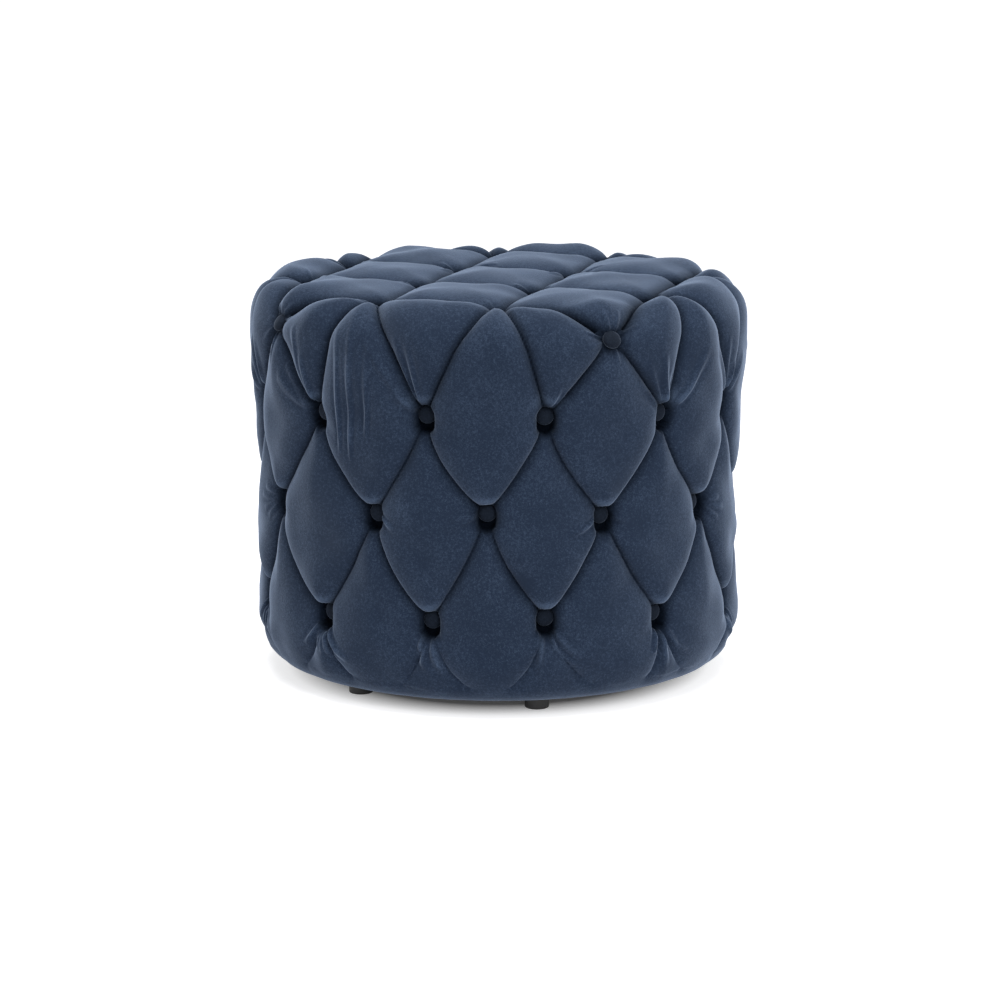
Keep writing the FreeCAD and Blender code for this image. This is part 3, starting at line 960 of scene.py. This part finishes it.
@dataclass
class Cover:
    """The velvet cover over its wadding: drum, pits, pleats, fans of small folds and the hem."""

    layout: Layout = field(default_factory=Layout)
    mesh_size: float = 0.0033
    widest: float = 0.060
    fine_reach: float = 0.009
    pit_reach: float = 0.026
    droop: float = 0.008
    droop_span: tuple[float, float] = (0.04, 0.37)
    droop_depth: float = 0.0125
    fade: float = 0.05
    even: float = 0.0010
    # The ridge height at which the painted fold highlight or shade is full.
    fold_light_height: float = 0.0024
    pit_drop: float = 0.008
    # Height over a side button of the painted highlight on the tuft's tip.
    tip_highlight_height: float = 0.0185
    seed: int = 7
    folds: list[Fold] = field(default_factory=list)

    def drum(self, shop: Workshop) -> bpy.types.Object:
        """A closed drum in even small faces, laid on the envelope.

        Args:
            shop: The workshop.

        Returns:
            The drum.
        """
        env = self.layout.envelope
        bpy.ops.object.select_all(action="DESELECT")
        height = env.top - env.foot
        bpy.ops.mesh.primitive_cylinder_add(
            vertices=160, radius=env.shoulder, depth=height, location=(0.0, 0.0, env.foot + height / 2.0)
        )
        piece = bpy.context.active_object
        piece.name = "velvet_tufted_cover"
        bpy.ops.object.transform_apply(location=True, rotation=False, scale=False)
        bpy.ops.object.mode_set(mode="EDIT")
        bpy.ops.mesh.select_all(action="DESELECT")
        mesh = bmesh.from_edit_mesh(piece.data)
        for face in mesh.faces:
            face.select = abs(face.normal.z) > 0.9
        bmesh.update_edit_mesh(piece.data)
        bpy.ops.mesh.bevel(offset=env.inset * 0.8, offset_type="OFFSET", segments=5, affect="EDGES")
        bpy.ops.object.mode_set(mode="OBJECT")
        remesh = piece.modifiers.new("even_faces", "REMESH")
        remesh.mode = "VOXEL"
        remesh.voxel_size = self.mesh_size
        shop.apply(piece, remesh)
        self.write(piece, env.settle(self.read(piece))[0])
        self.refine(piece)
        return piece

    def refine(self, piece: bpy.types.Object) -> None:
        """Halves the faces along the pleats and folds and round the buttons.

        Args:
            piece: The drum.
        """
        mesh = piece.data
        flat = np.empty(len(mesh.polygons) * 3)
        mesh.polygons.foreach_get("center", flat)
        centres = flat.reshape(-1, 3)
        fine = np.zeros(len(centres), bool)
        for line, _ in self.layout.pleats():
            found, _, _, _ = self.near(centres, line, self.fine_reach)
            fine[found] = True
        for fold in self.folds:
            found, _, _, _ = self.near(centres, fold.line, fold.width * 2.0 + 0.002)
            fine[found] = True
        for seat in self.layout.seats():
            fine |= ((centres - seat.surface) ** 2).sum(1) < 0.024**2
        mesh.polygons.foreach_set("select", fine)
        bpy.ops.object.mode_set(mode="EDIT")
        bpy.ops.mesh.select_mode(type="FACE")
        bpy.ops.mesh.subdivide(number_cuts=1)
        bpy.ops.object.mode_set(mode="OBJECT")

    @staticmethod
    def read(piece: bpy.types.Object) -> np.ndarray:
        """The mesh's points."""
        flat = np.empty(len(piece.data.vertices) * 3)
        piece.data.vertices.foreach_get("co", flat)
        return flat.reshape(-1, 3)

    @staticmethod
    def write(piece: bpy.types.Object, points: np.ndarray) -> None:
        """Puts the points back into the mesh."""
        piece.data.vertices.foreach_set("co", points.ravel())
        piece.data.update()

    def near(
        self, points: np.ndarray, line: np.ndarray, widest: float
    ) -> tuple[np.ndarray, np.ndarray, np.ndarray, np.ndarray]:
        """Distances from a pleat or fold.

        Args:
            points: The cover's points on the envelope.
            line: Points along the pleat.
            widest: How far points may lie from it.

        Returns:
            Indices of the points in reach, their distances, their places along the pleat from 0 to 1,
            and how far they lie above it.
        """
        line = line[np.linspace(0, len(line) - 1, max(4, len(line) // 4)).astype(int)]
        middle = line.mean(0)
        reach = np.linalg.norm(line - middle, axis=1).max() + widest
        found = np.nonzero(((points - middle) ** 2).sum(1) < reach * reach)[0]
        spots = points[found]
        best = np.full(len(found), 9.0)
        along, above = np.zeros(len(found)), np.zeros(len(found))
        runs = np.linalg.norm(np.diff(line, axis=0), axis=1)
        total, gone = runs.sum(), 0.0
        for first, last, run in zip(line[:-1], line[1:], runs):
            way = (last - first) / run
            t = np.clip((spots - first) @ way, 0.0, run)
            offset = spots - first - t[:, None] * way
            gap = np.linalg.norm(offset, axis=1)
            closer = gap < best
            best[closer] = gap[closer]
            along[closer] = (gone + t[closer]) / total
            above[closer] = offset[closer, 2]
            gone += run
        kept = best < widest
        return found[kept], best[kept], along[kept], above[kept]

    @staticmethod
    def swell(share: np.ndarray, roundness: float) -> np.ndarray:
        """Depth of a tuft's rounded flank.

        Args:
            share: Distance from the pleat over its reach, 0 to 1.
            roundness: 2 for a circle's arc, more for a fuller tuft.

        Returns:
            1 in the pleat and 0 on the crest.
        """
        t = 1.0 - np.clip(share, 0.0, 1.0)
        return 1.0 - (1.0 - t**roundness) ** (1.0 / roundness)

    def depths(self, points: np.ndarray) -> np.ndarray:
        """How far each point is drawn in from the envelope.

        Args:
            points: The cover's points on the envelope.

        Returns:
            The depths.
        """
        power = 5.0
        total = np.zeros(len(points))
        lay = self.layout
        for line, name in lay.pleats():
            kind = PleatKind[name].value
            found, gap, along, above = self.near(points, line, self.widest)
            length = np.linalg.norm(np.diff(line, axis=0), axis=1).sum()
            depth = (
                kind.middle
                + (kind.start - kind.middle) * np.exp(-((along * length / 0.013) ** 2))
                + (kind.end - kind.middle) * np.exp(-(((1.0 - along) * length / 0.013) ** 2))
            )
            blend = 0.5 + 0.5 * np.clip(above / np.maximum(gap, 1e-6) / 0.5, -1.0, 1.0)
            reach = kind.below + (kind.above - kind.below) * blend
            total[found] += (depth * self.swell(gap / reach, kind.roundness)) ** power
        cap = np.full(len(points), 0.03)
        for seat in lay.seats():
            gap = self.seat_gap(points, seat)
            found = gap < self.pit_reach + 0.008
            total[found] += (seat.depth * self.swell((gap[found] - 0.0092) / self.pit_reach, 3.0)) ** power
            floor = gap < 0.02
            cap[floor] = np.minimum(cap[floor], seat.depth)
        return np.minimum(total ** (1.0 / power), cap)

    def seat_gap(self, points: np.ndarray, seat: Seat) -> np.ndarray:
        """Distances from a seat, whose pit reaches some way below its button on the side.

        Args:
            points: The cover's points on the envelope.
            seat: The seat.

        Returns:
            The distances.
        """
        offset = points - seat.surface
        if seat.row in ("lower", "middle", "upper"):
            offset[:, 2] += np.clip(-offset[:, 2], 0.0, self.pit_drop)
        return np.linalg.norm(offset, axis=1)

    def pressed(self, points: np.ndarray) -> np.ndarray:
        """A painted highlight, pale on the tufts' tips right above the side buttons.

        Args:
            points: The cover's points on the envelope.

        Returns:
            The shares, 0 to 1.
        """
        share = np.zeros(len(points))
        for seat in self.layout.seats():
            if seat.row in ("corner", "top"):
                continue
            offset = points - seat.surface
            sideways = np.hypot(offset[:, 0], offset[:, 1])
            lift = (offset[:, 2] - self.tip_highlight_height) / 0.0055
            share = np.maximum(share, np.exp(-(lift**2)) * np.exp(-((sideways / 0.014) ** 2)))
        return share

    def ridges(self, points: np.ndarray) -> np.ndarray:
        """How far the small folds and the unevenness of handwork raise each point.

        Args:
            points: The cover's points on the envelope.

        Returns:
            The heights.
        """
        raised = np.zeros(len(points))
        for fold in self.folds:
            found, gap, along, _ = self.near(points, fold.line, fold.width * 3.0)
            taper = np.clip(along * 6.0, 0.0, 1.0) * np.clip(1.0 - along, 0.0, 1.0) ** 0.6
            across = gap / (fold.width * (0.55 + 0.45 * along))
            raised[found] += fold.height * taper * np.exp(-(across**2) / 1.3) * (1.0 - 1.1 * across**2)
        dice = np.random.default_rng(self.seed)
        for _ in range(14):
            way = dice.normal(size=3)
            wave = way / np.linalg.norm(way) * 2.0 * math.pi / dice.uniform(0.03, 0.085)
            raised += 0.00024 * np.sin(points @ wave + dice.uniform(0.0, 6.28))
        return raised

    def build(self, shop: Workshop) -> bpy.types.Object:
        """Makes and dresses the cover.

        Args:
            shop: The workshop.

        Returns:
            The cover.
        """
        self.folds = Folds(self.layout).all()
        piece = self.drum(shop)
        points, outward = self.layout.envelope.settle(self.read(piece))
        depth = self.depths(points)
        height = self.ridges(points) * np.clip((0.0215 - depth) / 0.0025, 0.0, 1.0) * (outward[:, 2] > -0.7)
        shaped = points - outward * (depth - height)[:, None]
        low, high = self.droop_span
        level = points[:, 2]
        side = np.clip((level - low) / self.fade, 0.0, 1.0) * np.clip((high - level) / self.fade, 0.0, 1.0)
        loose = 1.0 - np.clip(depth / self.droop_depth, 0.0, 1.0)
        shaped[:, 2] -= self.droop * side * loose * (1.0 - outward[:, 2] ** 2)
        self.write(piece, shaped)
        # Painted shade: the deeper a point is drawn into a pit or pleat, the more near-black shade its velvet
        # gets.
        sunk = piece.data.attributes.new("sunk", "FLOAT", "POINT")
        sunk.data.foreach_set("value", np.clip((depth - 0.007) / 0.009, 0.0, 1.0))
        # Painted highlight on the ridges of the small folds and painted shade in the hollows beside them.
        crest = piece.data.attributes.new("crest", "FLOAT", "POINT")
        past = np.clip(np.abs(height) - self.even, 0.0, self.fold_light_height) / self.fold_light_height
        crest.data.foreach_set("value", np.sign(height) * past)
        # Painted highlight on the tufts' tips above the side buttons.
        pressed = piece.data.attributes.new("pressed", "FLOAT", "POINT")
        pressed.data.foreach_set("value", self.pressed(points))
        shop.only(piece)
        bpy.ops.object.shade_smooth()
        shop.dress(piece, Finish.VELVET)
        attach(piece, "root")
        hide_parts("velvet_cover", "wadding")
        LOG.info("%s: %d points", piece.name, len(piece.data.vertices))
        return piece


@dataclass
class Buttons:
    """Covered buttons, modelled once and copied to their seats."""

    layout: Layout
    radius: float = 0.009
    height: float = 0.0063
    segments: int = 28

    def pattern(self) -> bpy.types.Object:
        """One button at the origin, looking up.

        Returns:
            The button.
        """
        bpy.ops.object.select_all(action="DESELECT")
        bpy.ops.mesh.primitive_cylinder_add(
            vertices=self.segments, radius=self.radius, depth=0.0026, location=(0.0, 0.0, 0.0013)
        )
        piece = bpy.context.active_object
        bpy.ops.object.transform_apply(location=True, rotation=False, scale=False)
        bpy.ops.object.mode_set(mode="EDIT")
        bpy.ops.mesh.select_mode(type="FACE")
        for inset, lift in ((0.0008, 0.0013), (0.0017, 0.0013), (0.0022, 0.0008), (0.0024, 0.0003)):
            bpy.ops.mesh.select_all(action="DESELECT")
            mesh = bmesh.from_edit_mesh(piece.data)
            top = max(f.calc_center_median().z for f in mesh.faces)
            for face in mesh.faces:
                face.select = face.normal.z > 0.9 and face.calc_center_median().z > top - 1e-5
            bmesh.update_edit_mesh(piece.data)
            bpy.ops.mesh.inset(thickness=inset, depth=lift)
        bpy.ops.mesh.select_all(action="SELECT")
        bpy.ops.mesh.normals_make_consistent(inside=False)
        bpy.ops.object.mode_set(mode="OBJECT")
        return piece

    def build(self, shop: Workshop) -> list[bpy.types.Object]:
        """Makes all buttons, a piece for each row.

        Args:
            shop: The workshop.

        Returns:
            The pieces.
        """
        pattern = self.pattern()
        made = []
        nodes = {
            "upper": "upper_side_buttons",
            "middle": "middle_side_buttons",
            "lower": "lower_side_buttons",
            "top": "top_buttons",
            "corner": "corner_buttons",
        }
        for row, node in nodes.items():
            copies = []
            for seat in self.layout.seats():
                if seat.row != row:
                    continue
                copy = pattern.copy()
                copy.data = pattern.data.copy()
                bpy.context.collection.objects.link(copy)
                spot = seat.surface - self.out(seat) * (seat.depth - 0.0002)
                turn = Vector(seat.look).to_track_quat("Z", "Y").to_matrix().to_4x4()
                copy.data.transform(Matrix.Translation(Vector(spot)) @ turn)
                copies.append(copy)
            bpy.ops.object.select_all(action="DESELECT")
            for copy in copies:
                copy.select_set(True)
            bpy.context.view_layer.objects.active = copies[0]
            bpy.ops.object.join()
            piece = bpy.context.active_object
            piece.name = f"{row}_covered_buttons"
            bpy.ops.object.shade_smooth()
            shop.dress(piece, Finish.BUTTON_VELVET)
            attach(piece, "root")
            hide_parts(node)
            LOG.info("%s: %d buttons", piece.name, len(copies))
            made.append(piece)
        bpy.data.objects.remove(pattern)
        return made

    def out(self, seat: Seat) -> np.ndarray:
        """The envelope's outward way at a seat."""
        return self.layout.envelope.settle(seat.surface[None, :])[1][0]


@dataclass
class HiddenFrame:
    """The pieces inside and below, which stay as they were built and get their finishes."""

    finishes: dict[str, Finish] = field(
        default_factory=lambda: {
            "base_board": Finish.PLYWOOD,
            "lower_ring": Finish.PLYWOOD,
            "top_deck": Finish.PLYWOOD,
            "side_panel": Finish.PLYWOOD,
            "panel_joint_strip": Finish.PLYWOOD,
            "post": Finish.SOFTWOOD,
            "deck_screws": Finish.STEEL,
            "base_screws": Finish.STEEL,
            "panel_staples": Finish.STEEL,
            "hem_staples": Finish.STEEL,
            "dust_cover_staples": Finish.STEEL,
            "side_foam": Finish.FOAM,
            "top_foam": Finish.FOAM,
            "wadding": Finish.FOAM,
            "velvet_cover": Finish.VELVET,
            "dust_cover": Finish.BLACK_CLOTH,
            "glides": Finish.PLASTIC,
            "glide_nails": Finish.STEEL,
            "button_backs": Finish.STEEL,
            "side_twines": Finish.TWINE,
            "top_twines": Finish.TWINE,
            "anchor_washers": Finish.STEEL,
        }
    )

    def dress(self, shop: Workshop, frame: dict) -> None:
        """Gives each carried-over piece its finish.

        Args:
            shop: The workshop.
            frame: The loaded frame.
        """
        for name, piece in frame["nodes"].items():
            key = "post" if name.startswith("post_") else name
            finish = self.finishes.get(key, Finish.BUTTON_VELVET)
            material = shop.material(finish)
            if not piece.data.materials:
                piece.data.materials.append(material)
            for i in range(len(piece.data.materials)):
                piece.data.materials[i] = material
            LOG.info("%s: %s", name, finish.name.lower())


# The studio


@dataclass
class Studio:
    """Pale floor, soft light and the camera."""

    lens: float = 128.2
    camera_place: tuple[float, float, float] = (0.002, -3.549, 0.9126)
    pitch: float = 11.83
    sky: float = 0.44

    def build(self) -> None:
        """Sets up everything round the tuffet."""
        self.floor()
        self.world()
        self.lamp("overhead", (0.0, -0.5, 2.3), (0.0, 0.0, 0.2), 1.6, 41.0)
        self.lamp("front", (1.6, -3.1, 1.9), (0.0, 0.0, 0.2), 1.4, 38.0)
        self.camera()
        bpy.context.scene.view_settings.view_transform = "Standard"

    def floor(self) -> None:
        """The pale floor, which keeps the shadow; its white glow fades out towards the axis, which paints
        shade under and round the foot.
        """
        bpy.ops.object.select_all(action="DESELECT")
        bpy.ops.mesh.primitive_plane_add(size=24.0, location=(0.0, 0.0, 0.0))
        plane = bpy.context.active_object
        plane.name = "studio_floor"
        g = Graph("pale_floor")
        diffuse = g.node("ShaderNodeBsdfDiffuse", {}, {"Color": (0.88, 0.88, 0.9, 1.0)})
        away = g.node("ShaderNodeVectorMath", {"operation": "LENGTH"}, {0: g.place()}, "Value")
        # Painted shade: the floor's glow fades out towards the axis, darkening the floor under and round the
        # foot.
        far = ((away - 0.170) * 22.0).clamped()
        white = (1.0, 1.0, 1.0, 1.0)
        lift = g.node("ShaderNodeEmission", {}, {"Color": white, "Strength": far * 0.64 + 0.04})
        both = g.node("ShaderNodeAddShader", {}, {0: diffuse, 1: lift})
        path = g.tree.nodes.new("ShaderNodeLightPath")
        seen = Value(g, path.outputs["Is Camera Ray"]) + Value(g, path.outputs["Is Glossy Ray"])
        share = (seen + Value(g, path.outputs["Is Transmission Ray"])).clamped()
        mixed = g.node("ShaderNodeMixShader", {}, {0: share, 1: diffuse, 2: both})
        plane.data.materials.append(g.finish(mixed))

    def world(self) -> None:
        """An even white surround."""
        world = bpy.data.worlds.new("white_surround")
        bpy.context.scene.world = world
        world.use_nodes = True
        nodes, links = world.node_tree.nodes, world.node_tree.links
        nodes.clear()
        out = nodes.new("ShaderNodeOutputWorld")
        light, seen = nodes.new("ShaderNodeBackground"), nodes.new("ShaderNodeBackground")
        light.inputs["Strength"].default_value = self.sky
        light.inputs["Color"].default_value = (1.0, 1.0, 1.0, 1.0)
        seen.inputs["Color"].default_value = (1.0, 1.0, 1.0, 1.0)
        seen.inputs["Strength"].default_value = 1.0
        path = nodes.new("ShaderNodeLightPath")
        first, second = nodes.new("ShaderNodeMath"), nodes.new("ShaderNodeMath")
        second.use_clamp = True
        mix = nodes.new("ShaderNodeMixShader")
        links.new(path.outputs["Is Camera Ray"], first.inputs[0])
        links.new(path.outputs["Is Glossy Ray"], first.inputs[1])
        links.new(first.outputs[0], second.inputs[0])
        links.new(path.outputs["Is Transmission Ray"], second.inputs[1])
        links.new(second.outputs[0], mix.inputs[0])
        links.new(light.outputs[0], mix.inputs[1])
        links.new(seen.outputs[0], mix.inputs[2])
        links.new(mix.outputs[0], out.inputs["Surface"])

    def lamp(
        self,
        name: str,
        place: tuple[float, float, float],
        target: tuple[float, float, float],
        size: float,
        power: float,
    ) -> None:
        """Hangs one soft lamp.

        Args:
            name: Its name.
            place: Where it hangs.
            target: What it faces.
            size: Side of its square.
            power: Watts.
        """
        data = bpy.data.lights.new(name, "AREA")
        data.shape = "SQUARE"
        data.size = size
        data.energy = power
        lamp = bpy.data.objects.new(name, data)
        lamp.location = place
        lamp.rotation_euler = (Vector(target) - Vector(place)).to_track_quat("-Z", "Y").to_euler()
        bpy.context.collection.objects.link(lamp)

    def camera(self) -> None:
        """The camera at the photograph's angle."""
        data = bpy.data.cameras.new("photo_camera")
        data.lens = self.lens
        data.sensor_width = 36.0
        camera = bpy.data.objects.new("photo_camera", data)
        camera.location = self.camera_place
        camera.rotation_euler = (math.radians(90.0 - self.pitch), 0.0, 0.0)
        bpy.context.collection.objects.link(camera)
        bpy.context.scene.camera = camera


def main() -> None:
    """Builds the picture, piece by piece."""
    logging.basicConfig(level=logging.INFO, format="%(name)s: %(message)s")
    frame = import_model()
    shop = Workshop()
    layout = Layout()
    HiddenFrame().dress(shop, frame)
    Cover(layout).build(shop)
    Buttons(layout).build(shop)
    Studio().build()


if __name__ == "__main__":
    main()
